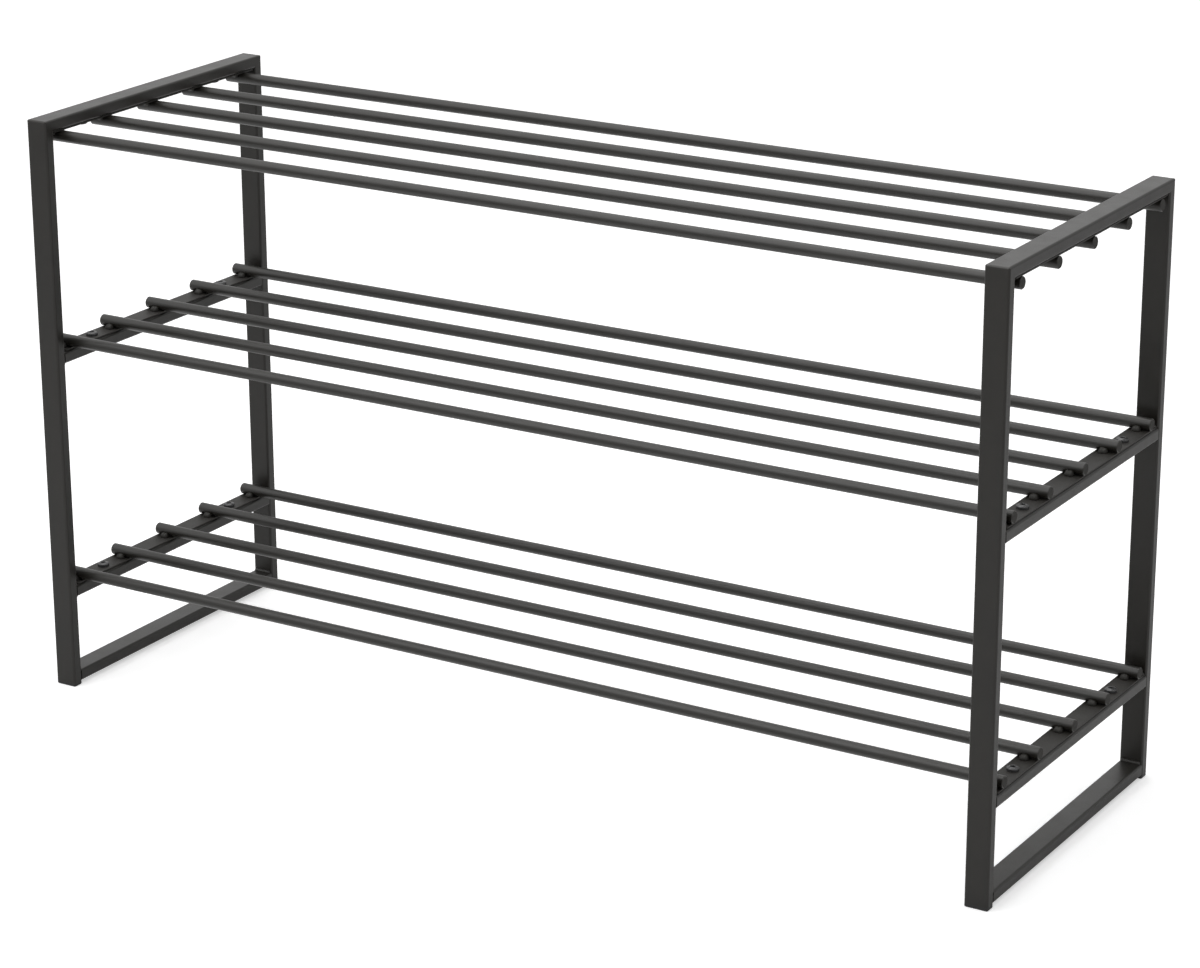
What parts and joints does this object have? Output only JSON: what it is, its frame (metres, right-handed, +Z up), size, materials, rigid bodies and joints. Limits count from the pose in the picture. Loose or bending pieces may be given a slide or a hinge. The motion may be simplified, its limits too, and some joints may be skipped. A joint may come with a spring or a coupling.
{
  "type": "tiered shoe rack",
  "caption": "Free-standing tiered shoe rack: welded end frames of flat steel tube carry open shelves of round rods, screwed on through plates at their ends.",
  "frame": {"origin": "on the floor, under the middle of the rack", "axes": "+X along the rods to the right as seen from the front, +Y from front to rear, +Z up"},
  "size_m": [0.712, 0.239, 0.4],
  "materials": {
    "frame": "matt black powder coat on steel tube",
    "rods": "matt black powder coat on steel wire",
    "plates": "matt black powder coat on steel strip",
    "screws": "black coated steel",
    "rivet_nuts": "dark zinc plated steel",
    "foot_caps": "moulded black plastic"
  },
  "bodies": {
    "root": {"left_front_post": "frame", "left_rear_post": "frame", "right_front_post": "frame", "right_rear_post": "frame", "left_top_rail": "frame", "right_top_rail": "frame", "left_middle_crossbar": "frame", "right_middle_crossbar": "frame", "left_lower_crossbar": "frame", "right_lower_crossbar": "frame", "left_bottom_rail": "frame", "right_bottom_rail": "frame", "left_frame_welds": "frame", "right_frame_welds": "frame", "lower_rod_1": "rods", "lower_rod_2": "rods", "lower_rod_3": "rods", "lower_rod_4": "rods", "lower_rod_5": "rods", "middle_rod_1": "rods", "middle_rod_2": "rods", "middle_rod_3": "rods", "middle_rod_4": "rods", "middle_rod_5": "rods", "top_rod_1": "rods", "top_rod_2": "rods", "top_rod_3": "rods", "top_rod_4": "rods", "top_rod_5": "rods", "lower_left_end_plate": "plates", "lower_right_end_plate": "plates", "middle_left_end_plate": "plates", "middle_right_end_plate": "plates", "top_left_end_plate": "plates", "top_right_end_plate": "plates", "lower_left_screws": "screws", "lower_right_screws": "screws", "middle_left_screws": "screws", "middle_right_screws": "screws", "top_left_screws": "screws", "top_right_screws": "screws", "lower_left_rivet_nuts": "rivet_nuts", "lower_right_rivet_nuts": "rivet_nuts", "middle_left_rivet_nuts": "rivet_nuts", "middle_right_rivet_nuts": "rivet_nuts", "top_left_rivet_nuts": "rivet_nuts", "top_right_rivet_nuts": "rivet_nuts", "left_front_foot_cap": "foot_caps", "left_rear_foot_cap": "foot_caps", "right_front_foot_cap": "foot_caps", "right_rear_foot_cap": "foot_caps"}
  },
  "joints": []
}
